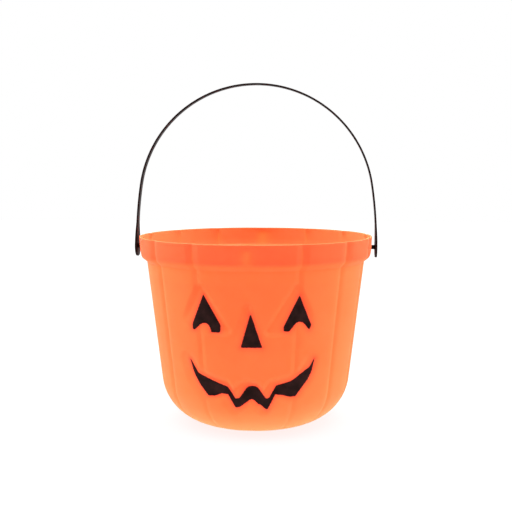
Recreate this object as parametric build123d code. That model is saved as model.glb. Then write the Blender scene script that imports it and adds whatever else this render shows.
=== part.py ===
from build123d import *
import math
import os

# Pumpkin candy pail, mm. Z is up from the base, the face looks along -Y, and the handle swings about X.

# Pail moulding
pail_height = 172.5
rim_radius = 108.0  # to the crest of a lobe at the lip
side_taper = 6.84  # degrees by which the side leans outwards
wall = 1.6
foot_round = 45.5  # radius of the turn from the side into the base
lobe_count = 14
crease_depth = 1.9  # between two lobes at the lip, less in proportion to the radius lower down
bowl_steps = 9  # sections along the turn into the base

# Rim band: a straight side, a rounded lower edge and a sloping ledge back to the wall
band_side = 12.5
band_turn_height = 7.8
band_turn_inset = 2.8
ledge_drop = 2.2
ledge_inset = 2.7

# Face: recesses in the front wall with a film of black paint on their floors
recess_depth = 3.0  # below the crests of the lobes
paint_thickness = 0.25
paint_clearance = 0.1  # between the film and the floor under it
paint_turn = 2.0  # degrees round the pail by which the paint sits off the recesses
face_lift = 10.7  # of the nose's base line above half the height of the wall
eye_middle = 40.4  # across, from the middle of the face to the apex of an eye
eye_lift = 12.8  # of an eye's lower edge above the nose's base line
eye_height = 29.8
eye_inner = 14.6  # how far an eye reaches from its apex towards the nose
eye_outer = 10.0  # and away from it
eye_inner_corner = 3.0  # height of the cut-off corners
eye_outer_corner = 4.4
corner_slant = 0.4  # width of a cut-off corner for its height
notch_width = 12.0
notch_height = 6.6
nose_width = 17.6
nose_height = 27.5
mouth_half_width = 53.1
mouth_height = 40.8
mouth_drop = 14.4  # of the mouth's tips below the nose's base line

# Margins from the paint to the edge of its recess
eye_side_margin = 10.0
nose_side_margin = 5.8
top_margin = 9.4
foot_margin = 3.3
mouth_margin = 4.2
recess_corner = 2.5

# Handle moulding: a flat strap with a paddle and a snap peg at each end
stud_drop = 10.4  # of the swing axis below the lip
side_gap = 2.75  # between the lip and the inner face of a paddle
strap_thickness = 1.2
strap_width = 8.5
leg_straight = 3.2
leg_radius = 350.0  # of the gentle inward lean of a leg
leg_sweep = 9.0  # degrees
paddle_radius = 9.6
paddle_thickness = 1.9
paddle_neck = 24.0  # height over which a paddle narrows to the strap
dome_radius = 5.0
dome_height = 0.5
peg_radius = 2.0
peg_clearance = 0.08
barb_radius = 3.2
barb_tip_radius = 1.5
barb_length = 3.2
barb_play = 0.9  # between the wall and the barb behind it

# Values that follow
taper = math.radians(side_taper)
lean = math.tan(taper)
band_height = band_side + band_turn_height + ledge_drop
wall_top_height = pail_height - band_height
band_low_radius = rim_radius - lean * band_side
wall_top_radius = band_low_radius - band_turn_inset - ledge_inset
foot_line_radius = wall_top_radius - lean * wall_top_height
base_radius = foot_line_radius + lean * foot_round - foot_round / math.cos(taper)
nose_line = wall_top_height / 2 + face_lift
stud_height = pail_height - stud_drop
band_radius_at_stud = rim_radius - lean * stud_drop


# Profile of the pail


def foot_point(angle, inset=0.0):
    """Radius and height on the turn into the base, angle in radians below the horizontal."""
    radius = foot_round - inset
    return base_radius + radius * math.cos(angle), foot_round - radius * math.sin(angle)


def side_line():
    """Radius and height of the crest line, from the edge of the flat base up to the lip."""
    line = []
    for step in range(bowl_steps + 1):
        angle = math.pi / 2 + (taper - math.pi / 2) * step / bowl_steps
        line.append(foot_point(angle))
    line.append((wall_top_radius, wall_top_height))
    ledge_radius = wall_top_radius + ledge_inset
    ledge_height = wall_top_height + ledge_drop
    for turn in (0, 45, 90):
        across = band_turn_inset * math.sin(math.radians(turn))
        up = band_turn_height * (1 - math.cos(math.radians(turn)))
        line.append((ledge_radius + across, ledge_height + up))
    line.append((rim_radius, pail_height))
    return line


def inset_line(line, inset):
    """The same line moved into the plastic by inset, with its corners mitred."""
    normals = [(0.0, -1.0)]
    for (r0, z0), (r1, z1) in zip(line, line[1:]):
        length = math.hypot(r1 - r0, z1 - z0)
        normals.append(((z1 - z0) / length, (r0 - r1) / length))
    normals.append(normals[-1])
    moved = []
    for (r, z), (ar, az), (br, bz) in zip(line, normals, normals[1:]):
        mitre = inset / (1 + ar * br + az * bz)
        moved.append((r - mitre * (ar + br), z - mitre * (az + bz)))
    return moved


def lobed_wire(radius, height):
    """Outline of all lobes at one height: an arc per lobe, with creases on the front and the back."""
    pitch = 360 / lobe_count
    crease_radius = radius * (1 - crease_depth / rim_radius)
    arcs = []
    for lobe in range(lobe_count):
        start = -90 + pitch * lobe
        arcs.append(
            ThreePointArc(
                (*polar(crease_radius, start), height),
                (*polar(radius, start + pitch / 2), height),
                (*polar(crease_radius, start + pitch), height),
            )
        )
    return Wire(arcs)


def polar(radius, angle):
    """X and Y of a point at an angle in degrees."""
    return radius * math.cos(math.radians(angle)), radius * math.sin(math.radians(angle))


def lobed_body(line):
    """Solid inside a profile line: a smooth turn into the base, then straight stretches up to the top."""
    bowl = [lobed_wire(r, z) for r, z in line[: bowl_steps + 1]]
    side = [lobed_wire(r, z) for r, z in line[bowl_steps:]]
    return Solid.make_loft(bowl) + Solid.make_loft(side, ruled=True)


def plain_body(inset):
    """Round solid under the crests of the lobes by inset, up to the top of the wall."""
    side_foot = foot_point(taper, inset)
    base_edge = foot_point(math.pi / 2, inset)
    arc_middle = foot_point((math.pi / 2 + taper) / 2, inset)
    top = (wall_top_radius - inset / math.cos(taper), wall_top_height)
    outline = [
        Line((0, inset), base_edge),
        ThreePointArc(base_edge, arc_middle, side_foot),
        Line(side_foot, top),
        Line(top, (0, wall_top_height)),
        Line((0, wall_top_height), (0, inset)),
    ]
    return revolve(Plane.XZ * make_face(outline), Axis.Z)


# Face outlines, seen from the front: X across and height above the nose's base line


def both_sides(points):
    """Right-hand outline points from the middle of the face outwards and back, closed by their mirror."""
    mirrored = [(-x, z) for x, z in reversed(points) if x > 0]
    return points + mirrored


def eye_paint_face():
    """Right eye: a triangle with cut-off lower corners and a round notch in its lower edge."""
    inner_x = eye_middle - eye_inner
    outer_x = eye_middle + eye_outer
    notch_inner = (eye_middle - notch_width / 2, eye_lift)
    notch_top = (eye_middle, eye_lift + notch_height)
    notch_outer = (eye_middle + notch_width / 2, eye_lift)
    edges = [
        Polyline(
            notch_inner,
            (inner_x + corner_slant * eye_inner_corner, eye_lift),
            (inner_x, eye_lift + eye_inner_corner),
            (eye_middle, eye_lift + eye_height),
            (outer_x, eye_lift + eye_outer_corner),
            (outer_x - corner_slant * eye_outer_corner, eye_lift),
            notch_outer,
        ),
        ThreePointArc(notch_outer, notch_top, notch_inner),
    ]
    return Pos(0, nose_line) * make_face(edges)


def eye_recess_face():
    apex = (eye_middle, eye_lift + eye_height + top_margin)
    outer = (eye_middle + eye_outer + eye_side_margin, eye_lift - foot_margin)
    inner = (eye_middle - eye_inner - eye_side_margin, eye_lift - foot_margin)
    outline = Polygon(apex, outer, inner, align=None)
    return Pos(0, nose_line) * fillet(outline.vertices(), recess_corner)


def nose_triangle(half_width, top, foot):
    return Pos(0, nose_line) * Polygon((0, top), (half_width, foot), (-half_width, foot), align=None)


def nose_paint_face():
    return nose_triangle(nose_width / 2, nose_height, 0)


def nose_recess_face():
    outline = nose_triangle(nose_width / 2 + nose_side_margin, nose_height + top_margin, -foot_margin)
    return fillet(outline.vertices(), recess_corner)


def mouth_paint_face():
    """A grin with pointed teeth, drawn in shares of the mouth's half width and of its height."""
    upper = [(0, 0.515), (0.094, 0.544), (0.162, 0.632), (0.235, 0.782), (0.301, 0.676), (0.384, 0.51)]
    cheek = [(0.633, 0.422), (0.768, 0.331), (0.855, 0.284), (1, 0)]
    jaw = [(0.934, 0.284), (0.891, 0.434), (0.71, 0.76), (0.537, 0.73), (0.369, 0.703)]
    lower = [(0.23, 1), (0.132, 0.877), (0, 0.784)]
    half = []
    for across, down in upper + cheek + jaw + lower:
        half.append((mouth_half_width * across, -mouth_drop - mouth_height * down))
    return Pos(0, nose_line) * Polygon(*both_sides(half), align=None)


def mouth_recess_face():
    return offset(mouth_paint_face(), mouth_margin)


def face_prism(face, turn=0.0):
    """Everything in front of the swing axis that lies behind an outline of the face."""
    return Rot(0, 0, turn) * extrude(Plane.XZ * face, rim_radius + wall, dir=(0, -1, 0))


# Pail


def recess_faces():
    eye = eye_recess_face()
    return [eye, mirror(eye, Plane.YZ), nose_recess_face(), mouth_recess_face()]


def pail_shell():
    line = side_line()
    inner_line = inset_line(line, wall)
    lip_radius, lip_height = inner_line[-1]
    above_lip = pail_height + wall
    inner_line[-1] = (lip_radius + lean * (above_lip - lip_height), above_lip)
    outside = lobed_body(line)
    shell = outside - lobed_body(inner_line)
    floor = plain_body(recess_depth)
    backing = outside - plain_body(recess_depth + wall)
    for face in recess_faces():
        shell += face_prism(offset(face, wall)) & backing
    for face in recess_faces():
        shell -= face_prism(face) - floor
    hole = Cylinder(peg_radius + peg_clearance, 2 * rim_radius + 2 * side_gap, rotation=(0, 90, 0))
    return shell - Pos(0, 0, stud_height) * hole


def paint_film(face):
    """Paint on the floor of a recess, set round the pail by the turn of the painting mask."""
    under = recess_depth - paint_clearance
    film = plain_body(under - paint_thickness) - plain_body(under)
    return face_prism(face, paint_turn) & film


# Handle


def strap_edges(offset_out):
    """Edges of the strap's line from the right stud to the left one, moved outwards from its middle."""
    leg_x = rim_radius + side_gap + paddle_thickness / 2 + offset_out
    sweep_radius = leg_radius + offset_out

    def lean_point(angle):
        across = leg_x - sweep_radius * (1 - math.cos(math.radians(angle)))
        return across, stud_height + leg_straight + sweep_radius * math.sin(math.radians(angle))

    def other(point):
        return -point[0], point[1]

    foot = (leg_x, stud_height)
    straight_end = lean_point(0)
    lean_middle = lean_point(leg_sweep / 2)
    shoulder = lean_point(leg_sweep)
    crown_radius = shoulder[0] / math.cos(math.radians(leg_sweep))
    crown = (0, shoulder[1] + crown_radius * (1 - math.sin(math.radians(leg_sweep))))
    return [
        Line(foot, straight_end),
        ThreePointArc(straight_end, lean_middle, shoulder),
        ThreePointArc(shoulder, crown, other(shoulder)),
        ThreePointArc(other(shoulder), other(lean_middle), other(straight_end)),
        Line(other(straight_end), other(foot)),
    ]


def strap_band():
    """The flat strap: the space between its outer and inner lines, given its width."""
    outer = strap_edges(strap_thickness / 2)
    inner = strap_edges(-strap_thickness / 2)
    ends = [Line(outer[0] @ 0, inner[0] @ 0), Line(outer[-1] @ 1, inner[-1] @ 1)]
    face = make_face(outer + inner + ends)
    return extrude(Plane.XZ * face, strap_width / 2, both=True)


def peg_and_dome(inner_x):
    """Turned about X: the barb behind the wall, the peg through it and the dome outside the paddle."""
    barb_x = band_radius_at_stud - wall - barb_play
    tip_x = barb_x - barb_length
    middle_x = inner_x + paddle_thickness / 2
    outer_x = inner_x + paddle_thickness
    top_x = outer_x + dome_height
    cap_radius = (dome_radius**2 + dome_height**2) / (2 * dome_height)
    half_way = dome_radius / 2
    half_way_x = top_x - cap_radius + math.sqrt(cap_radius**2 - half_way**2)
    edges = [
        Polyline(
            (top_x, 0),
            (tip_x, 0),
            (tip_x, barb_tip_radius),
            (barb_x, barb_radius),
            (barb_x, peg_radius),
            (middle_x, peg_radius),
            (middle_x, dome_radius),
            (outer_x, dome_radius),
        ),
        ThreePointArc((outer_x, dome_radius), (half_way_x, half_way), (top_x, 0)),
    ]
    return revolve(make_face(edges), Axis.X)


def paddle():
    """Right-hand paddle with its peg and dome."""
    inner_x = rim_radius + side_gap
    neck = Pos(0, paddle_neck) * Rectangle(strap_width, strap_thickness)
    outline = make_hull(Circle(paddle_radius).edges() + neck.edges())
    plate = extrude(Plane.YZ.offset(inner_x) * outline, paddle_thickness)
    return Pos(0, 0, stud_height) * (plate + peg_and_dome(inner_x))


def handle_strap():
    right = paddle()
    return strap_band() + right + mirror(right, Plane.YZ)


# Parts

eye_paint = eye_paint_face()
parts = {
    "pail_shell": pail_shell(),
    "handle_strap": handle_strap(),
    "right_eye_paint": paint_film(eye_paint),
    "left_eye_paint": paint_film(mirror(eye_paint, Plane.YZ)),
    "nose_paint": paint_film(nose_paint_face()),
    "mouth_paint": paint_film(mouth_paint_face()),
}

os.makedirs("parts", exist_ok=True)
for name, solid in parts.items():
    export_step(solid, f"parts/{name}.step")
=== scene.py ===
import math

import bmesh
import bpy
import numpy as np
from mathutils import Matrix, Vector


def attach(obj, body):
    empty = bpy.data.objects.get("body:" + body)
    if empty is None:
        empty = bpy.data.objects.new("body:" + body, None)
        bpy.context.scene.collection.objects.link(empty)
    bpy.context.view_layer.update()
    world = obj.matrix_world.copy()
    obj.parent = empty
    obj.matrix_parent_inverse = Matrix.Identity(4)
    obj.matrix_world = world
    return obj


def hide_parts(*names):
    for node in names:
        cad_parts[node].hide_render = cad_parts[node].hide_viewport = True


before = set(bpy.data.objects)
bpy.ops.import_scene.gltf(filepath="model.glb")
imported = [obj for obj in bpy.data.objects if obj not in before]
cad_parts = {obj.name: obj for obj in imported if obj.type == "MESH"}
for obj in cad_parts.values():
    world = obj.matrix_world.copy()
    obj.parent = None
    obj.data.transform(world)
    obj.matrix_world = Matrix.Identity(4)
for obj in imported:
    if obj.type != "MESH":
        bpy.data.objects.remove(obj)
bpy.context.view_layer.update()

# Sizes in mm, in the part's frame: Z up from the base, the face looks along -Y, the handle swings about X
MM = 0.001
PAIL_HEIGHT = 172.5
RIM_RADIUS = 108.0
SIDE_TAPER = math.radians(6.84)
LEAN = math.tan(SIDE_TAPER)
WALL = 1.6
FOOT_ROUND = 45.5

# Lobes and the creases between them, on the wall and on the rim band
LOBES = 14
PITCH = 2 * math.pi / LOBES
WALL_CREASE = 1.2  # depth of a crease where the radius is the rim's
BAND_CREASE = 1.9
WALL_GROOVE = 0.22  # half width of a crease as a share of half a lobe
BAND_GROOVE = 0.3
SOFT_LOBE = 1.5  # how late the round creases at the middle of the front and back set in
INSIDE_SOFTNESS = 0.6  # how much shallower the creases are inside
LIP_REACH = 6.0  # depth below the lip over which the inside creases soften

# Rim band, from the foot of its plain face down to the wall's top: radius and height of each corner
BAND_FACE = 12.5
BAND_LOW = (RIM_RADIUS - LEAN * BAND_FACE, PAIL_HEIGHT - BAND_FACE)
TURN = (BAND_LOW[0] - 0.9, BAND_LOW[1] - 5.6)
LEDGE = (BAND_LOW[0] - 2.8, BAND_LOW[1] - 7.8)
WALL_TOP = (LEDGE[0] - 2.7, LEDGE[1] - 2.2)
FOOT_CORNER = (WALL_TOP[0] - LEAN * WALL_TOP[1], 0.0)
BAND_STAND = 0.8  # how far the band's foot stands out, which makes the band more upright than the wall

# Lip
LIP_ROUND = 0.7
LIP_SQUARENESS = 0.5  # powers that make the lip's half round squarer and fuller
LIP_FULLNESS = 0.7
LIP_STEPS = 8

# Fineness of the pail's mesh
FACE_HALF = 1.75 * PITCH  # the fine columns reach this far round to each side
FACE_COLUMNS = 197
COLUMN_GAP = 0.004  # least turn from the fine columns to the next one
FACE_FOOT = 24.0  # the rows between these heights are fine
FACE_TOP = WALL_TOP[1] - 8.0
FACE_SPACING = 0.78
PLAIN_SPACING = 2.6

# Face
NOSE_LINE = WALL_TOP[1] / 2 + 10.7  # height of the nose's base
RECESS_DEPTH = 2.8
RECESS_TOP = WALL_TOP[1] - 1.0  # recesses lie below this height and outside this radius
RECESS_INNER = 20.0
FLATNESS = 0.08  # how much deeper a recess is for each mm towards the middle of the face
EYE_MIDDLE = 44.0  # how far across each recess's floor has its plain depth
NOSE_MIDDLE = 6.0
MOUTH_MIDDLE = 30.0
SLOPE = 5.0  # width of a recess's sloping wall
FAR_ACROSS = 1000.0  # stands for any place on the back
PAINT_TURN = math.radians(2.0)  # the paint sits this far round from the recesses
PAINT_LIFT = 0.14  # of the paint's face above the plastic
PAINT_THICKNESS = 0.3
PAINT_STEP = 1.0  # size of the squares in the paint's mesh
OVERSPRAY_REACH = 1.6  # stray paint thins out over this distance

# Handle
STUD_BELOW_RIM = 10.4
STUD_HEIGHT = PAIL_HEIGHT - STUD_BELOW_RIM
PADDLE_INNER = RIM_RADIUS + 2.75
STRAP_THICKNESS = 1.5
STRAP_WIDTH = 8.5
STRAP_CORNER = 0.45
CORNER_STEPS = 4
LEG_STRAIGHT = 3.05
LEG_RADIUS = 350.0
LEG_SWEEP = math.radians(9.0)
PADDLE_RADIUS = 9.6
PADDLE_THICKNESS = 1.9
PADDLE_NECK = 24.0  # distance from the stud to where the paddle's flanks meet the strap
NECK_END = PADDLE_NECK + 6.0
NECK_EASE = 6.0  # sharpness of the soft curve in which a flank runs out into the strap
NECK_RUN_OUT = 4.0
THINNING_START = 6.0  # the paddle thins down to the strap from here on
THINNING_LENGTH = PADDLE_NECK - 2.0
END_TRIM = 0.02  # angle cut off the round end, which leaves a narrow edge to close
END_STATIONS = 22
NECK_STATIONS = 26
CROWN_STATIONS = 70
PEG_RADIUS = 2.0
PEG_PLAY = 0.2
HOLE_RADIUS = PEG_RADIUS + PEG_PLAY
HOLE_END = RIM_RADIUS + 2.0
BARB_PLAY = 0.9

# Camera, fitted to the photograph's rim and silhouette
CAMERA_DISTANCE = 800.0
CAMERA_ABOVE_RIM = 61.7
CAMERA_TURN = math.radians(4.2)  # round the pail, towards +X
CAMERA_PITCH = math.radians(5.8)
CAMERA_YAW = math.radians(0.026)
FOCAL_PIXELS = 857.8
PHOTO_PIXELS = 512
SENSOR_WIDTH = 36.0

# Colours
ORANGE_DEEP = (0.94, 0.186, 0.061)
ORANGE_PALE = (0.98, 0.2, 0.069)
OVERSPRAY_COLOUR = (0.8, 0.045, 0.04)
OVERSPRAY_STRENGTH = 0.72
PAINT_DARK = (0.008, 0.0026, 0.0021)
PAINT_PALE = (0.026, 0.0088, 0.0078)
STRAP_DARK = (0.009, 0.0042, 0.004)
STRAP_PALE = (0.017, 0.009, 0.008)
WHITE = (1.0, 1.0, 1.0, 1.0)
NOISE_LOW = 0.3  # most of a noise texture lies between these
NOISE_HIGH = 0.7

# Share of the orange that shows from outside, by height, which is painted light and shade: a little painted
# shade on the wall, a painted light strip under the rim band that lifts the shade under its overhang, and
# the deepest painted shade on the band
WALL_PAINTED_SHADE = (1.0, 0.89, 0.78)
# painted light: the strip under the rim band is left undarkened, to lift the shade under the band
UNDER_BAND_PAINTED_LIGHT = (1.0, 1.0, 0.87)
# painted shade: the rim band is darkened most
BAND_PAINTED_SHADE = (0.98, 0.66, 0.69)
PAINTED_LIGHT_AND_SHADE = [
    (LEDGE[1] - 16, WALL_PAINTED_SHADE),
    (LEDGE[1] - 4, UNDER_BAND_PAINTED_LIGHT),
    (LEDGE[1] + 1, UNDER_BAND_PAINTED_LIGHT),
    (LEDGE[1] + 4.5, BAND_PAINTED_SHADE),
]
OUTSIDE_MARGIN = 1.0  # keeps the flat floor from counting as outside

# Studio light
SIDE_LIGHT = 4.2
SIDE_FALLOFF = 1.3
SIDE_SETBACK = 0.2  # the side light stands this far behind the pail, as the sine of its angle
OVERHEAD_LIGHT = 2.0
LEFT_LIGHT = 0.16
GLOW_NEAR = 2.35  # light thrown up by the floor, close round the foot and further out
GLOW_FAR = 1.05
GLOW_NEAR_RADIUS = 102.0
GLOW_FAR_RADIUS = 150.0
FLOOR_COLOUR = (0.1, 0.1, 0.1)
FLOOR_WHITE = 0.82
FLOOR_HALF = 3000.0
FLOOR_DROP = 0.2


# Mesh helpers


def smoothstep(t):
    t = np.clip(t, 0.0, 1.0)
    return t * t * (3 - 2 * t)


def eased_ramp(t, ease=0.2):
    """A straight ramp from 0 to 1 with a short soft start and end."""
    t = np.clip(t, 0.0, 1.0)
    slope = 1 / (1 - ease)
    start = slope * t**2 / (2 * ease)
    end = 1 - slope * (1 - t) ** 2 / (2 * ease)
    return np.where(t < ease, start, np.where(t > 1 - ease, end, slope * (t - ease / 2)))


def soft_start(t, ease=0.35):
    """A straight ramp from 0 to 1 with a soft start and a sharp end."""
    t = np.clip(t, 0.0, 1.0)
    slope = 1 / (1 - ease / 2)
    return np.where(t < ease, slope * t**2 / (2 * ease), slope * (t - ease / 2))


def link_mesh(name, points, faces):
    """A mesh object from points in mm."""
    mesh = bpy.data.meshes.new(name)
    mesh.from_pydata([tuple(p) for p in np.asarray(points) * MM], [], faces)
    mesh.update()
    return link(name, mesh)


def link(name, mesh):
    obj = bpy.data.objects.new(name, mesh)
    bpy.context.scene.collection.objects.link(obj)
    return obj


def shade(obj, sharp_angle=math.radians(40)):
    """Smooth faces, with edges sharper than the angle kept crisp, and normals pointing outwards."""
    bm = bmesh.new()
    bm.from_mesh(obj.data)
    bmesh.ops.recalc_face_normals(bm, faces=bm.faces)
    for face in bm.faces:
        face.smooth = True
    for edge in bm.edges:
        edge.smooth = not edge.is_manifold or edge.calc_face_angle(0) < sharp_angle
    bm.to_mesh(obj.data)
    bm.free()
    return obj


def grid_faces(rows, columns):
    """Quads of a grid of points, row by row, each row joined round."""
    faces = []
    for row in range(rows - 1):
        for column in range(columns):
            following = (column + 1) % columns
            low, high = row * columns, (row + 1) * columns
            faces.append((low + column, low + following, high + following, high + column))
    return faces


def boolean(obj, other, operation):
    """Applies a boolean with another object, which is removed."""
    modifier = obj.modifiers.new(operation, "BOOLEAN")
    modifier.operation = operation
    modifier.solver = "EXACT"
    modifier.object = other
    depsgraph = bpy.context.evaluated_depsgraph_get()
    mesh = bpy.data.meshes.new_from_object(obj.evaluated_get(depsgraph))
    obj.modifiers.clear()
    obj.data = mesh
    bpy.data.objects.remove(other)
    return obj


# Profile of the pail


def rounded_line(corners, steps):
    """Points and outward normals along a line of (radius, height, rounding) corners, walked upwards."""
    points = []
    normals = []
    for index, (r, z, rounding) in enumerate(corners):
        corner = np.array([r, z])
        if index in (0, len(corners) - 1):
            neighbour = corners[1] if index == 0 else corners[-2]
            along = np.array(neighbour[:2]) - corner
            along *= 1 if index == 0 else -1
            along /= np.linalg.norm(along)
            points.append(corner)
            normals.append(np.array([along[1], -along[0]]))
            continue
        before = corner - np.array(corners[index - 1][:2])
        after = np.array(corners[index + 1][:2]) - corner
        before /= np.linalg.norm(before)
        after /= np.linalg.norm(after)
        turn = math.atan2(before[0] * after[1] - before[1] * after[0], before @ after)
        tangent = rounding * math.tan(abs(turn) / 2)
        start = corner - before * tangent
        side = np.array([before[1], -before[0]])
        centre = start - math.copysign(rounding, turn) * side
        for t in np.linspace(0, 1, steps[index] + 1):
            angle = turn * t
            normal = np.array(
                [
                    side[0] * math.cos(angle) - side[1] * math.sin(angle),
                    side[0] * math.sin(angle) + side[1] * math.cos(angle),
                ]
            )
            points.append(centre + math.copysign(rounding, turn) * normal)
            normals.append(normal)
    return np.array(points), np.array(normals)


def fill_line(points, normals, spacing):
    """Adds evenly spread points on stretches longer than the spacing for their height."""
    out_points = [points[0]]
    out_normals = [normals[0]]
    for a, b, na, nb in zip(points, points[1:], normals, normals[1:]):
        length = np.linalg.norm(b - a)
        count = max(1, math.ceil(length / spacing((a[1] + b[1]) / 2)))
        for t in np.linspace(0, 1, count + 1)[1:]:
            out_points.append(a + (b - a) * t)
            normal = na + (nb - na) * t
            out_normals.append(normal / np.linalg.norm(normal))
    return np.array(out_points), np.array(out_normals)


PROFILE_CORNERS = [
    (0.0, 0.0, 0.0),
    (*FOOT_CORNER, FOOT_ROUND),
    (*WALL_TOP, 2.2),
    (*LEDGE, 1.9),
    (TURN[0] + BAND_STAND, TURN[1], 5.0),
    (BAND_LOW[0] + BAND_STAND, BAND_LOW[1], 12.0),
    (RIM_RADIUS, PAIL_HEIGHT, 0.0),
]
PROFILE_STEPS = [0, 46, 4, 5, 3, 3, 0]


def wall_radius(z):
    """Crest radius of the wall and the turn into the base at a height."""
    base = FOOT_CORNER[0] + LEAN * FOOT_ROUND - FOOT_ROUND / math.cos(SIDE_TAPER)
    side_foot = FOOT_ROUND * (1 - math.sin(SIDE_TAPER))
    low = np.clip(z, 0.0, side_foot)
    round_part = base + np.sqrt(FOOT_ROUND**2 - (FOOT_ROUND - low) ** 2)
    return np.where(z > side_foot, FOOT_CORNER[0] + LEAN * z, round_part)


def lobe_share(angle, z):
    """How far the section lies below its crests, as a share of the radius."""
    across = np.abs(((angle / PITCH) % 1.0) * 2 - 1)
    heights = (WALL_TOP[1], TURN[1])
    width = np.interp(z, heights, (WALL_GROOVE, BAND_GROOVE))
    depth = np.interp(z, heights, (WALL_CREASE, BAND_CREASE)) / RIM_RADIUS
    groove = soft_start((across - 1) / width + 1)
    # the middle of the front and of the back is a crease, and those two are round
    mould_line = np.rint(angle / PITCH) % (LOBES // 2) == 0
    return depth * np.where(mould_line, smoothstep(across) ** SOFT_LOBE, groove)


# Recess outlines seen from the front: across and height above the nose's base line.
# The eye and the half of the mouth are the ones on the right.

EYE_RECESS = [(40.6, 48.5), (55.5, 13.4), (18.0, 13.4)]
NOSE_RECESS = [(0.0, 32.0), (10.6, 0.2), (-10.6, 0.2)]
RECESS_GROW = 3.0  # rounding added round the recess triangles
MOUTH_GROW = 5.0

MOUTH_RECESS_HALF = [
    (0.0, -35.4), (5.0, -36.6), (8.6, -40.2), (12.5, -46.3), (16.0, -42.0), (20.4, -35.2),
    (33.6, -31.6), (40.8, -27.9), (45.4, -26.0), (53.1, -14.4),
    (49.6, -26.0), (47.3, -32.1), (37.7, -45.4), (28.5, -44.2), (19.6, -43.1),
    (12.2, -55.2), (7.0, -50.2), (0.0, -46.4),
]


def mirrored(points):
    return [(-x, z) for x, z in reversed(points)]


def both_sides(half):
    return half + [point for point in mirrored(half) if point[0] < 0]


MOUTH_RECESS = both_sides(MOUTH_RECESS_HALF)


def rounded_outline(corners, steps=5):
    """Points of a closed outline of (across, height, rounding) corners, walked clockwise."""
    points = []
    for index, (x, z, rounding) in enumerate(corners):
        corner = np.array([x, z])
        before = corner - np.array(corners[index - 1][:2])
        after = np.array(corners[(index + 1) % len(corners)][:2]) - corner
        before /= np.linalg.norm(before)
        after /= np.linalg.norm(after)
        turn = math.atan2(before[0] * after[1] - before[1] * after[0], before @ after)
        start = corner - before * rounding * math.tan(abs(turn) / 2)
        to_centre = math.copysign(rounding, turn) * np.array([-before[1], before[0]])
        for angle in np.linspace(0, turn, steps + 1):
            spoke = Matrix.Rotation(angle, 2) @ Vector(-to_centre)
            points.append(tuple(start + to_centre + np.array(spoke)))
    return points


# Painted outlines: across, height above the nose's base line, and rounding of each corner.
# Each was sprayed through a mask by hand, so the two sides differ a little.

RIGHT_EYE_PAINT = [
    (40.3, 43.0, 0.3), (50.4, 16.9, 2.5), (48.6, 13.0, 0.4), (40.4, 23.5, 4.9),
    (31.8, 12.7, 0.6), (26.9, 12.6, 1.5), (27.0, 16.6, 5.0),
]
LEFT_EYE_PAINT = [
    (-40.9, 43.3, 0.3), (-26.0, 17.4, 5.0), (-26.5, 11.6, 1.0), (-34.2, 11.3, 1.0),
    (-37.3, 24.0, 5.1), (-48.5, 12.6, 1.0), (-50.4, 12.6, 0.8), (-50.7, 17.3, 3.0),
]
NOSE_PAINT = [(-0.7, 28.3, 0.4), (9.1, -0.7, 0.5), (-9.0, -0.8, 0.6)]
MOUTH_PAINT = [
    # top edge, from the left tip to the right
    (-54.0, -13.8, 0.2), (-46.4, -26.6, 3.0), (-33.5, -32.0, 20.0), (-20.6, -36.8, 2.5), (-16.4, -42.6, 2.5),
    (-14.0, -46.9, 1.6), (-10.7, -46.4, 2.0), (-3.2, -35.5, 5.8), (4.1, -35.4, 5.8), (13.3, -48.2, 2.0),
    (20.7, -35.2, 1.2), (34.0, -31.6, 12.0), (41.5, -25.8, 15.0), (49.4, -20.3, 4.0), (53.7, -12.4, 0.2),
    # bottom edge, back again
    (51.0, -24.6, 12.0), (47.5, -31.8, 12.0), (37.0, -45.5, 1.2), (32.0, -45.5, 8.0), (26.0, -43.6, 10.0),
    (19.9, -42.9, 0.9), (12.9, -57.0, 1.4), (7.9, -52.0, 1.5), (5.4, -51.2, 2.0), (0.4, -45.6, 3.6),
    (-5.0, -50.2, 8.0), (-11.0, -54.6, 2.0), (-14.1, -54.7, 1.3), (-20.2, -43.2, 1.5), (-25.5, -42.7, 4.0),
    (-31.5, -45.2, 5.0), (-37.6, -45.8, 1.8), (-45.0, -36.6, 20.0), (-50.0, -27.6, 20.0),
]


def signed_distance(x, z, outline):
    """Distance of points from a closed outline, negative inside."""
    best = np.full(x.shape, np.inf)
    inside = np.zeros(x.shape, bool)
    for (ax, az), (bx, bz) in zip(outline, outline[1:] + outline[:1]):
        ex, ez = bx - ax, bz - az
        t = np.clip(((x - ax) * ex + (z - az) * ez) / (ex * ex + ez * ez), 0.0, 1.0)
        best = np.minimum(best, np.hypot(x - ax - t * ex, z - az - t * ez))
        if ez != 0:
            crossing = (az > z) != (bz > z)
            inside ^= crossing & (x < ax + (z - az) * ex / ez)
    return np.where(inside, -best, best)


# Recess outlines, with the rounding added round each and where its floor has its plain depth
RECESSES = [
    (EYE_RECESS, RECESS_GROW, EYE_MIDDLE),
    (mirrored(EYE_RECESS), RECESS_GROW, EYE_MIDDLE),
    (NOSE_RECESS, RECESS_GROW, NOSE_MIDDLE),
    (MOUTH_RECESS, MOUTH_GROW, MOUTH_MIDDLE),
]


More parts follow.
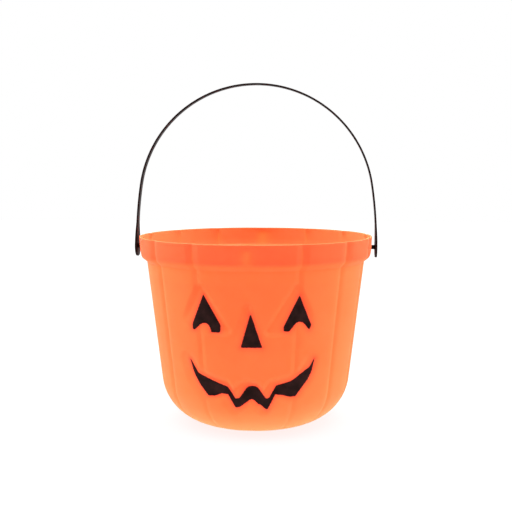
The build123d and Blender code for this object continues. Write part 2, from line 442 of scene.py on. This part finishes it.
def sunk_radius(radius, crest, angle, z, behind=0.0):
    """A lobed radius drawn down to a recess's floor where there is one, or to a surface behind that floor.

    A floor is upright, so that the moulding can be drawn: it leaves the sloping wall at the recess's foot.
    It is also flatter than the round wall, and so deeper towards the middle of the face.
    """
    half_sunk = wall_radius(z) - RECESS_DEPTH / 2
    across = np.where(np.cos(angle) > 0, half_sunk * np.sin(angle), FAR_ACROSS)
    height = z - NOSE_LINE
    lowest = radius
    for outline, grow, middle in RECESSES:
        foot = min(point[1] for point in outline) - grow
        depth = np.clip(LEAN * (height - foot), 0.0, RECESS_DEPTH) + FLATNESS * (middle - np.abs(across))
        depth = np.maximum(depth, 0.0)
        distance = signed_distance(across, height, outline) - grow - behind
        share = eased_ramp(0.5 - distance / SLOPE)
        lowest = np.minimum(lowest, radius + share * np.minimum(crest - depth - behind - radius, 0.0))
    return lowest


def outer_radius(angle, z):
    """Radius of the pail's outside on the wall, with its lobes and recesses."""
    crest = wall_radius(z)
    lobed = crest * (1 - lobe_share(angle, z))
    return sunk_radius(lobed, crest, angle, z)


# Pail


def column_angles():
    """Angles from the front: fine across the face, and gathered towards the creases elsewhere."""
    face = np.linspace(-FACE_HALF, FACE_HALF, FACE_COLUMNS)
    stops = np.array([0.0, 0.025, 0.06, 0.11, 0.18, 0.32, 0.5, 0.68, 0.82, 0.89, 0.94, 0.975])
    all_round = np.concatenate([(lobe + stops) * PITCH for lobe in range(LOBES)])
    first = FACE_HALF + COLUMN_GAP
    beyond_face = (all_round > first) & (all_round < 2 * math.pi - first)
    return np.concatenate([face, all_round[beyond_face]])


def outside_spacing(z):
    return FACE_SPACING if FACE_FOOT < z < FACE_TOP else PLAIN_SPACING


def inside_spacing(z):
    return PLAIN_SPACING


def revolve_rows(points, angles, radius_of):
    """Rows of points round the pail for a profile, with a function for the radius at a point and angle."""
    rows = []
    for r, z in points:
        radius = radius_of(r, z, angles)
        heights = np.full_like(angles, z)
        rows.append(np.stack([radius * np.sin(angles), -radius * np.cos(angles), heights], 1))
    return rows


def wall_rows(points, angles, behind):
    """Rows of one side of the wall, this far behind the outside, with its lobes and recesses."""

    def radius_of(r, z, angle):
        below_lip = np.clip((PAIL_HEIGHT - z) / LIP_REACH, 0.0, 1.0)
        softness = INSIDE_SOFTNESS * below_lip if behind else 0.0
        lobed = r * (1 - lobe_share(angle, z) * (1 - softness))
        if z > RECESS_TOP or r < RECESS_INNER:
            return lobed
        heights = np.full_like(angle, z)
        return sunk_radius(lobed, r + behind, angle, heights, behind)

    return revolve_rows(points, angles, radius_of)


def lip_line(outer, inner):
    """Points over the rolled lip, from the top of the outside to the top of the inside."""
    middle = (outer + inner) / 2
    half = (outer - inner) / 2
    points = []
    for t in np.linspace(0, math.pi, LIP_STEPS + 1):
        side = math.copysign(abs(math.cos(t)) ** LIP_SQUARENESS, math.cos(t))
        rise = LIP_ROUND * (math.sin(t) ** LIP_FULLNESS - 1)
        points.append(middle + half * side + np.array([0, rise]))
    points = np.array(points)
    points[:, 1] += PAIL_HEIGHT - points[:, 1].max()
    return points


def pail_shell():
    angles = column_angles()
    line, normals = rounded_line(PROFILE_CORNERS, PROFILE_STEPS)
    outside, _ = fill_line(line, normals, outside_spacing)
    inside_line, inside_normals = fill_line(line, normals, inside_spacing)
    inside = (inside_line - WALL * inside_normals)[::-1]
    outside = outside[1:]
    inside = inside[:-1]
    lip = lip_line(outside[-1], inside[0])
    outside = outside[:-1]
    inside = inside[1:]
    rows = wall_rows(outside, angles, 0.0)
    rows += revolve_rows(lip, angles, lambda r, z, angle: r * (1 - lobe_share(angle, z)))
    rows += wall_rows(inside, angles, WALL)
    columns = len(angles)
    points = np.concatenate(rows + [np.array([[0, 0, 0.0], [0, 0, WALL]])])
    faces = grid_faces(len(rows), columns)
    under, floor = len(points) - 2, len(points) - 1
    last = (len(rows) - 1) * columns
    for column in range(columns):
        following = (column + 1) % columns
        faces.append((under, following, column))
        faces.append((floor, last + column, last + following))
    obj = link_mesh("pail", points, faces)
    bore = [(-HOLE_END, 0.0), (-HOLE_END, HOLE_RADIUS), (HOLE_END, HOLE_RADIUS), (HOLE_END, 0.0)]
    holes = turned("peg_holes", bore)
    boolean(obj, holes, "DIFFERENCE")
    return shade(obj)


# Paint


def add_overspray(obj):
    """Marks how much stray paint lies on each point of the outside, fading away from the painted edges."""
    places = np.array([vert.co for vert in obj.data.vertices]) / MM
    angle = np.arctan2(places[:, 0], -places[:, 1])
    radius = np.hypot(places[:, 0], places[:, 1])
    height = places[:, 2]
    across = radius * np.sin(angle - PAINT_TURN)
    stray = np.zeros(len(places))
    for outline in (RIGHT_EYE_PAINT, LEFT_EYE_PAINT, NOSE_PAINT, MOUTH_PAINT):
        distance = signed_distance(across, height - NOSE_LINE, rounded_outline(outline))
        stray = np.maximum(stray, np.exp(-np.maximum(distance, 0.0) / OVERSPRAY_REACH))
    outside = radius > outer_radius(angle, height) - WALL / 2
    on_face = outside & (np.cos(angle) > 0) & (height < WALL_TOP[1])
    attribute = obj.data.attributes.new("overspray", "FLOAT", "POINT")
    attribute.data.foreach_set("value", np.where(on_face, stray, 0.0).astype(np.float32))


def rippled(outline, step=0.9, amount=0.16):
    """An outline cut into short lengths, with the small waver of a sprayed edge."""
    points = []
    for (ax, az), (bx, bz) in zip(outline, outline[1:] + outline[:1]):
        count = max(1, round(math.hypot(bx - ax, bz - az) / step))
        for t in np.arange(count) / count:
            points.append((ax + (bx - ax) * t, az + (bz - az) * t))
    points = np.array(points)
    # corners are eased by a light running mean
    eased = (np.roll(points, 1, 0) + 2 * points + np.roll(points, -1, 0)) / 4
    x, z = eased.T
    waver = np.sin(1.9 * x + 1.3 * z) + np.sin(0.8 * x - 2.7 * z + 1.0)
    along = np.roll(eased, -1, 0) - np.roll(eased, 1, 0)
    along /= np.linalg.norm(along, axis=1)[:, None]
    across = np.stack([along[:, 1], -along[:, 0]], 1)
    return eased + across * (waver * amount / 2)[:, None]


def paint_patch(name, outline, node):
    """A film of paint that follows the wall and the recess under it."""
    bm = bmesh.new()
    ring = [bm.verts.new((x, z, 0.0)) for x, z in rippled(rounded_outline(outline))]
    bm.faces.new(ring)
    bmesh.ops.triangulate(bm, faces=bm.faces[:])
    low = np.min([v.co for v in bm.verts], axis=0)
    high = np.max([v.co for v in bm.verts], axis=0)
    for axis in (0, 1):
        normal = (1, 0, 0) if axis == 0 else (0, 1, 0)
        for cut in np.arange(low[axis] + PAINT_STEP / 2, high[axis], PAINT_STEP):
            geometry = bm.verts[:] + bm.edges[:] + bm.faces[:]
            point = Vector(normal) * cut
            bmesh.ops.bisect_plane(bm, geom=geometry, dist=1e-5, plane_co=point, plane_no=normal)
    bmesh.ops.remove_doubles(bm, verts=bm.verts[:], dist=1e-4)
    flat = np.array([v.co for v in bm.verts])
    across, height = flat[:, 0], flat[:, 1] + NOSE_LINE
    radius = wall_radius(height) - RECESS_DEPTH
    # angle and radius depend on each other and settle in a few rounds
    for _ in range(6):
        angle = np.arcsin(across / radius) + PAINT_TURN
        radius = outer_radius(angle, height) + PAINT_LIFT
    placed = np.stack([radius * np.sin(angle), -radius * np.cos(angle), height], 1) * MM
    for vert, place in zip(bm.verts, placed):
        vert.co = place
    mesh = bpy.data.meshes.new(name)
    bm.to_mesh(mesh)
    bm.free()
    obj = link(name, mesh)
    face_outwards(obj)
    solidify = obj.modifiers.new("film", "SOLIDIFY")
    solidify.thickness = PAINT_THICKNESS * MM
    solidify.offset = -1
    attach(obj, "pail")
    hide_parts(node)
    return obj


def face_outwards(obj):
    """Smooth faces that all look away from the pail's axis."""
    bm = bmesh.new()
    bm.from_mesh(obj.data)
    for face in bm.faces:
        face.smooth = True
        centre = face.calc_center_median()
        if face.normal.x * centre.x + face.normal.y * centre.y < 0:
            face.normal_flip()
    bm.to_mesh(obj.data)
    bm.free()


# Handle


def turned(name, profile, steps=40):
    """A mesh turned about the handle's swing axis from (x, radius) points that start and end on it."""
    points = []
    for x, radius in profile[1:-1]:
        for t in np.arange(steps) * 2 * math.pi / steps:
            points.append((x, radius * math.cos(t), STUD_HEIGHT + radius * math.sin(t)))
    faces = grid_faces(len(profile) - 2, steps)
    first, last = len(points), len(points) + 1
    points += [(profile[0][0], 0.0, STUD_HEIGHT), (profile[-1][0], 0.0, STUD_HEIGHT)]
    end = (len(profile) - 3) * steps
    for step in range(steps):
        following = (step + 1) % steps
        faces.append((first, following, step))
        faces.append((last, end + step, end + following))
    obj = link_mesh(name, points, faces)
    return shade(obj)


def strap_station(distance):
    """Middle of the strap and its outward direction at a distance along it from the right stud."""
    leg_x = PADDLE_INNER + PADDLE_THICKNESS / 2
    lean_length = LEG_RADIUS * LEG_SWEEP
    if distance <= LEG_STRAIGHT:
        return np.array([leg_x, STUD_HEIGHT + distance]), np.array([1.0, 0.0])
    angle = min((distance - LEG_STRAIGHT) / LEG_RADIUS, LEG_SWEEP)
    outward = np.array([math.cos(angle), math.sin(angle)])
    centre = np.array([leg_x - LEG_RADIUS, STUD_HEIGHT + LEG_STRAIGHT])
    if distance <= LEG_STRAIGHT + lean_length:
        return centre + LEG_RADIUS * outward, outward
    shoulder = centre + LEG_RADIUS * outward
    crown_radius = shoulder[0] / math.cos(LEG_SWEEP)
    angle = LEG_SWEEP + (distance - LEG_STRAIGHT - lean_length) / crown_radius
    outward = np.array([math.cos(angle), math.sin(angle)])
    crown_centre = np.array([0.0, shoulder[1] - crown_radius * math.sin(LEG_SWEEP)])
    return crown_centre + crown_radius * outward, outward


def crown_distance():
    """Distance along the strap from a stud to the middle of the crown."""
    lean_length = LEG_RADIUS * LEG_SWEEP
    leg_x = PADDLE_INNER + PADDLE_THICKNESS / 2
    shoulder_x = leg_x - LEG_RADIUS * (1 - math.cos(LEG_SWEEP))
    return LEG_STRAIGHT + lean_length + shoulder_x / math.cos(LEG_SWEEP) * (math.pi / 2 - LEG_SWEEP)


def strap_half_width(distance):
    """Half the strap's width: a round end, a flank that leaves the circle on its tangent, then the strap."""
    half = STRAP_WIDTH / 2
    # angle above the horizontal at which the flank leaves the circle
    lift = math.atan2(PADDLE_NECK, half) - math.acos(PADDLE_RADIUS / math.hypot(PADDLE_NECK, half))
    lift_height = PADDLE_RADIUS * math.sin(lift)
    if distance < lift_height:
        return math.sqrt(max(PADDLE_RADIUS**2 - distance**2, 0.0))
    if distance < PADDLE_NECK:
        start = PADDLE_RADIUS * math.cos(lift)
        share = (distance - lift_height) / (PADDLE_NECK - lift_height)
        flank = start + (half - start) * share
        return half + math.log1p(math.exp((flank - half) * NECK_EASE)) / NECK_EASE
    run_out = max(0.0, 1 - (distance - PADDLE_NECK) / NECK_RUN_OUT)
    return half + math.log(2) / NECK_EASE * run_out


def strap_half_thickness(distance):
    share = float(smoothstep((distance - THINNING_START) / THINNING_LENGTH))
    return (PADDLE_THICKNESS + (STRAP_THICKNESS - PADDLE_THICKNESS) * share) / 2


def strap_section(half_width, half_thickness):
    """Rounded rectangle round the strap: (outward, sideways) pairs."""
    corner = min(STRAP_CORNER, 0.9 * min(half_width, half_thickness))
    section = []
    for quarter, (sx, sy) in enumerate([(1, 1), (-1, 1), (-1, -1), (1, -1)]):
        for step in range(CORNER_STEPS + 1):
            angle = math.pi / 2 * (quarter + step / CORNER_STEPS)
            out = sx * (half_thickness - corner) + corner * math.cos(angle)
            across = sy * (half_width - corner) + corner * math.sin(angle)
            section.append((out, across))
    return section


def strap():
    end = [-PADDLE_RADIUS * math.cos(t) for t in np.linspace(END_TRIM, math.pi / 2, END_STATIONS)]
    neck = list(np.linspace(0, NECK_END, NECK_STATIONS)[1:])
    rest = list(np.linspace(NECK_END, crown_distance(), CROWN_STATIONS)[1:])
    half = end + neck + rest
    stations = [(d, 1) for d in half] + [(d, -1) for d in reversed(half[:-1])]
    points = []
    for distance, side in stations:
        centre, outward = strap_station(distance)
        for out, across in strap_section(strap_half_width(distance), strap_half_thickness(distance)):
            x, z = centre + outward * out
            points.append((side * x, across, z))
    columns = 4 * (CORNER_STEPS + 1)
    faces = grid_faces(len(stations), columns)
    faces.append(tuple(range(columns)))
    faces.append(tuple(range(len(points) - columns, len(points)))[::-1])
    obj = shade(link_mesh("handle_strap_body", points, faces))
    for side in (1, -1):
        boolean(obj, turned("peg", peg_profile(side)), "UNION")
    shade(obj)
    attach(obj, "handle")
    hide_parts("handle_strap")
    return obj


def peg_profile(side):
    """Barb behind the wall, peg, and the low dome outside the paddle, as (x, radius)."""
    barb_x = RIM_RADIUS - LEAN * STUD_BELOW_RIM - WALL - BARB_PLAY
    dome_x = PADDLE_INNER + PADDLE_THICKNESS
    collar = PEG_RADIUS + 0.5
    barb = [(-3.2, 0.0), (-3.2, 0.9), (-3.0, 1.45), (-2.5, 1.9), (-0.6, 3.05), (-0.15, 3.2), (0.0, 3.05)]
    peg = [(0.0, PEG_RADIUS + 0.1), (0.25, PEG_RADIUS)]
    root = [(-0.5, PEG_RADIUS), (-0.15, PEG_RADIUS + 0.15), (0.05, collar), (0.6, collar), (0.6, 5.0)]
    dome = [(-0.1, 5.0), (0.08, 4.7), (0.24, 3.7), (0.4, 2.4), (0.48, 1.1), (0.5, 0.0)]
    profile = []
    for start, line in ((barb_x, barb + peg), (PADDLE_INNER, root), (dome_x, dome)):
        profile += [(start + x, radius) for x, radius in line]
    return [(side * x, radius) for x, radius in profile]


# Materials


def new_material(name):
    material = bpy.data.materials.new(name)
    material.use_nodes = True
    nodes = material.node_tree.nodes
    return material, nodes, material.node_tree.links, nodes["Principled BSDF"]


def noise(nodes, links, scale, detail, stretch=None):
    """A noise texture in the part's own coordinates, scale per metre."""
    coordinates = nodes.new("ShaderNodeTexCoord")
    texture = nodes.new("ShaderNodeTexNoise")
    texture.inputs["Scale"].default_value = scale
    texture.inputs["Detail"].default_value = detail
    vector = coordinates.outputs["Object"]
    if stretch:
        mapping = nodes.new("ShaderNodeMapping")
        mapping.inputs["Scale"].default_value = stretch
        links.new(vector, mapping.inputs["Vector"])
        vector = mapping.outputs["Vector"]
    links.new(vector, texture.inputs["Vector"])
    return texture.outputs["Fac"]


def ramp(nodes, links, value, stops):
    """A colour ramp through (position, colour) stops."""
    node = nodes.new("ShaderNodeValToRGB")
    elements = node.color_ramp.elements
    while len(elements) < len(stops):
        elements.new(0.5)
    for element, (position, colour) in zip(elements, stops):
        element.position = position
        element.color = (*colour, 1.0)
    links.new(value, node.inputs["Fac"])
    return node.outputs["Color"]


def remap(nodes, links, value, low, high):
    """A noise value spread from low to high."""
    node = nodes.new("ShaderNodeMapRange")
    node.inputs["From Min"].default_value = NOISE_LOW
    node.inputs["From Max"].default_value = NOISE_HIGH
    node.inputs["To Min"].default_value = low
    node.inputs["To Max"].default_value = high
    links.new(value, node.inputs["Value"])
    return node.outputs["Result"]


def math_node(nodes, links, operation, *values):
    """A math node's result from sockets and plain numbers."""
    node = nodes.new("ShaderNodeMath")
    node.operation = operation
    for socket, value in zip(node.inputs, values):
        if isinstance(value, (int, float)):
            socket.default_value = value
        else:
            links.new(value, socket)
    return node.outputs["Value"]


def bump(nodes, links, heights):
    """Chains bumps of (height, depth in metres) onto one normal."""
    normal = None
    for height, depth in heights:
        node = nodes.new("ShaderNodeBump")
        node.inputs["Strength"].default_value = 1.0
        node.inputs["Distance"].default_value = depth
        links.new(height, node.inputs["Height"])
        if normal:
            links.new(normal, node.inputs["Normal"])
        normal = node.outputs["Normal"]
    return normal


def painted_light_and_shade_by_height(nodes, links, place):
    """The painted light and shade multiplied into the pail's outside at the height of a place."""
    height = nodes.new("ShaderNodeSeparateXYZ")
    links.new(place, height.inputs["Vector"])
    share = nodes.new("ShaderNodeMapRange")
    share.inputs["From Max"].default_value = PAIL_HEIGHT * MM
    links.new(height.outputs["Z"], share.inputs["Value"])
    stops = [(z / PAIL_HEIGHT, tone) for z, tone in PAINTED_LIGHT_AND_SHADE]
    return ramp(nodes, links, share.outputs["Result"], stops)


def outside_mask(nodes, links, place):
    """1 where the surface looks away from the pail's axis, and 0 elsewhere."""
    from_axis = nodes.new("ShaderNodeVectorMath")
    from_axis.operation = "MULTIPLY"
    from_axis.inputs[1].default_value = (1.0, 1.0, 0.0)
    links.new(place, from_axis.inputs[0])
    facing = nodes.new("ShaderNodeVectorMath")
    facing.operation = "DOT_PRODUCT"
    links.new(from_axis.outputs["Vector"], facing.inputs[0])
    links.new(nodes.new("ShaderNodeNewGeometry").outputs["Normal"], facing.inputs[1])
    return math_node(nodes, links, "GREATER_THAN", facing.outputs["Value"], OUTSIDE_MARGIN * MM)


def orange_plastic():
    """Satin polypropylene: a slow drift of colour, faint flow streaks up the wall and a fine moulded grain.

    Some light passes through the thin walls. The outside also carries painted shade by height, deepest on
    the rim band, and a painted light strip on the thin turn under the band; the inside keeps the plain
    orange.
    """
    material, nodes, links, shader = new_material("orange_plastic")
    drift = noise(nodes, links, 22.0, detail=4.0)
    colour = ramp(nodes, links, drift, [(NOISE_LOW, ORANGE_DEEP), (NOISE_HIGH, ORANGE_PALE)])
    place = nodes.new("ShaderNodeTexCoord").outputs["Object"]
    # painted light and shade: the outside's orange is multiplied by a colour set by height, darkest on the
    # rim band and lightest just under it
    painted_shade = nodes.new("ShaderNodeMixRGB")
    painted_shade.blend_type = "MULTIPLY"
    links.new(outside_mask(nodes, links, place), painted_shade.inputs["Fac"])
    links.new(colour, painted_shade.inputs["Color1"])
    links.new(painted_light_and_shade_by_height(nodes, links, place), painted_shade.inputs["Color2"])
    overspray = nodes.new("ShaderNodeAttribute")
    overspray.attribute_name = "overspray"
    stray = math_node(nodes, links, "MULTIPLY", overspray.outputs["Fac"], OVERSPRAY_STRENGTH)
    dusted = nodes.new("ShaderNodeMixRGB")
    dusted.inputs["Color2"].default_value = (*OVERSPRAY_COLOUR, 1.0)
    links.new(stray, dusted.inputs["Fac"])
    links.new(painted_shade.outputs["Color"], dusted.inputs["Color1"])
    links.new(dusted.outputs["Color"], shader.inputs["Base Color"])
    grain = noise(nodes, links, 900.0, detail=2.0)
    streaks = noise(nodes, links, 60.0, detail=3.0, stretch=(1.0, 1.0, 0.12))
    links.new(remap(nodes, links, streaks, 0.5, 0.6), shader.inputs["Roughness"])
    links.new(bump(nodes, links, [(streaks, 0.18 * MM), (grain, 0.03 * MM)]), shader.inputs["Normal"])
    shader.inputs["Specular IOR Level"].default_value = 0.04
    shader.inputs["Subsurface Weight"].default_value = 0.4
    shader.inputs["Subsurface Radius"].default_value = (4.0, 2.0, 1.2)
    shader.inputs["Subsurface Scale"].default_value = MM
    return material


def black_paint():
    """Sprayed satin black with a little orange peel."""
    material, nodes, links, shader = new_material("black_paint")
    cloud = noise(nodes, links, 140.0, detail=4.0)
    colour = ramp(nodes, links, cloud, [(NOISE_LOW, PAINT_DARK), (NOISE_HIGH, PAINT_PALE)])
    links.new(colour, shader.inputs["Base Color"])
    links.new(remap(nodes, links, cloud, 0.42, 0.58), shader.inputs["Roughness"])
    peel = noise(nodes, links, 1300.0, detail=2.0)
    links.new(bump(nodes, links, [(peel, 0.05 * MM)]), shader.inputs["Normal"])
    shader.inputs["Specular IOR Level"].default_value = 0.05
    return material


def black_plastic():
    """Satin black strap with fine drawn lines and a few duller rubbed places."""
    material, nodes, links, shader = new_material("black_plastic")
    rubbed = noise(nodes, links, 70.0, detail=5.0)
    colour = ramp(nodes, links, rubbed, [(0.35, STRAP_DARK), (0.75, STRAP_PALE)])
    links.new(colour, shader.inputs["Base Color"])
    links.new(remap(nodes, links, rubbed, 0.34, 0.5), shader.inputs["Roughness"])
    shader.inputs["Specular IOR Level"].default_value = 0.03
    lines = noise(nodes, links, 1500.0, detail=1.0, stretch=(0.15, 1.0, 0.15))
    links.new(bump(nodes, links, [(lines, 0.02 * MM)]), shader.inputs["Normal"])
    return material


# Stage: a white floor, a white world and soft light, brighter from the sides than from the front


def white_to_camera(nodes, links, shader_output, white):
    """White to the camera and in reflections, and the given shader to everything else."""
    path = nodes.new("ShaderNodeLightPath")
    seen = path.outputs["Is Camera Ray"]
    for name in ("Is Glossy Ray", "Is Transmission Ray"):
        seen = math_node(nodes, links, "MAXIMUM", seen, path.outputs[name])
    mix = nodes.new("ShaderNodeMixShader")
    links.new(seen, mix.inputs["Fac"])
    links.new(shader_output, mix.inputs[1])
    links.new(white, mix.inputs[2])
    return mix.outputs["Shader"]


def white_world():
    world = bpy.data.worlds.new("studio")
    bpy.context.scene.world = world
    world.use_nodes = True
    nodes = world.node_tree.nodes
    links = world.node_tree.links
    output = nodes["World Output"]
    light = nodes["Background"]
    light.inputs["Color"].default_value = WHITE
    coordinates = nodes.new("ShaderNodeTexCoord")
    split = nodes.new("ShaderNodeSeparateXYZ")
    links.new(coordinates.outputs["Generated"], split.inputs["Vector"])
    # brightest at the two sides, dark in front and dim behind, with more light overhead and on the left
    from_side = math_node(nodes, links, "SUBTRACT", split.outputs["Y"], SIDE_SETBACK)
    towards_side = math_node(nodes, links, "SUBTRACT", 1.0, math_node(nodes, links, "ABSOLUTE", from_side))
    level = math_node(nodes, links, "MAXIMUM", towards_side, 0.0)
    level = math_node(nodes, links, "POWER", level, SIDE_FALLOFF)
    level = math_node(nodes, links, "MULTIPLY", level, SIDE_LIGHT)
    level = math_node(nodes, links, "MULTIPLY_ADD", split.outputs["Z"], OVERHEAD_LIGHT, level)
    level = math_node(nodes, links, "MULTIPLY_ADD", split.outputs["X"], -LEFT_LIGHT, level)
    links.new(level, light.inputs["Strength"])
    white = nodes.new("ShaderNodeBackground")
    white.inputs["Color"].default_value = WHITE
    seen = white_to_camera(nodes, links, light.outputs["Background"], white.outputs["Background"])
    links.new(seen, output.inputs["Surface"])


def white_floor():
    floor = link("floor", bpy.data.meshes.new("floor"))
    square = [(-1, -1), (1, -1), (1, 1), (-1, 1)]
    corners = [(x * FLOOR_HALF * MM, y * FLOOR_HALF * MM, -FLOOR_DROP * MM) for x, y in square]
    floor.data.from_pydata(corners, [], [(0, 1, 2, 3)])
    material, nodes, links, shader = new_material("floor")
    shader.inputs["Base Color"].default_value = (*FLOOR_COLOUR, 1.0)
    shader.inputs["Roughness"].default_value = 0.9
    shader.inputs["Specular IOR Level"].default_value = 0.0
    shader.inputs["Emission Color"].default_value = WHITE
    shader.inputs["Emission Strength"].default_value = FLOOR_WHITE
    # light thrown back up by the floor, strongest close round the foot
    place = nodes.new("ShaderNodeVectorMath")
    place.operation = "LENGTH"
    links.new(nodes.new("ShaderNodeTexCoord").outputs["Object"], place.inputs[0])
    fading = nodes.new("ShaderNodeMapRange")
    fading.inputs["From Min"].default_value = GLOW_NEAR_RADIUS * MM
    fading.inputs["From Max"].default_value = GLOW_FAR_RADIUS * MM
    fading.inputs["To Min"].default_value = GLOW_NEAR
    fading.inputs["To Max"].default_value = GLOW_FAR
    links.new(place.outputs["Value"], fading.inputs["Value"])
    glow = nodes.new("ShaderNodeEmission")
    links.new(fading.outputs["Result"], glow.inputs["Strength"])
    seen = white_to_camera(nodes, links, glow.outputs["Emission"], shader.outputs["BSDF"])
    links.new(seen, nodes["Material Output"].inputs["Surface"])
    floor.data.materials.append(material)


def add_camera():
    data = bpy.data.cameras.new("camera")
    data.sensor_width = SENSOR_WIDTH
    data.sensor_fit = "HORIZONTAL"
    data.lens = FOCAL_PIXELS / PHOTO_PIXELS * data.sensor_width
    camera = bpy.data.objects.new("camera", data)
    bpy.context.scene.collection.objects.link(camera)
    place = Matrix.Rotation(CAMERA_TURN, 4, "Z") @ Matrix.Translation(
        Vector((0.0, -CAMERA_DISTANCE, PAIL_HEIGHT + CAMERA_ABOVE_RIM)) * MM
    )
    aim = Matrix.Rotation(-CAMERA_YAW, 4, "Z") @ Matrix.Rotation(math.pi / 2 - CAMERA_PITCH, 4, "X")
    camera.matrix_world = place @ aim
    bpy.context.scene.camera = camera


# Build

pail = pail_shell()
add_overspray(pail)
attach(pail, "pail")
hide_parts("pail_shell")
pail.data.materials.append(orange_plastic())

paint = black_paint()
for piece in (
    paint_patch("right_eye", RIGHT_EYE_PAINT, "right_eye_paint"),
    paint_patch("left_eye", LEFT_EYE_PAINT, "left_eye_paint"),
    paint_patch("nose", NOSE_PAINT, "nose_paint"),
    paint_patch("mouth", MOUTH_PAINT, "mouth_paint"),
):
    piece.data.materials.append(paint)

strap().data.materials.append(black_plastic())

white_world()
white_floor()
add_camera()
bpy.context.scene.view_settings.view_transform = "Standard"
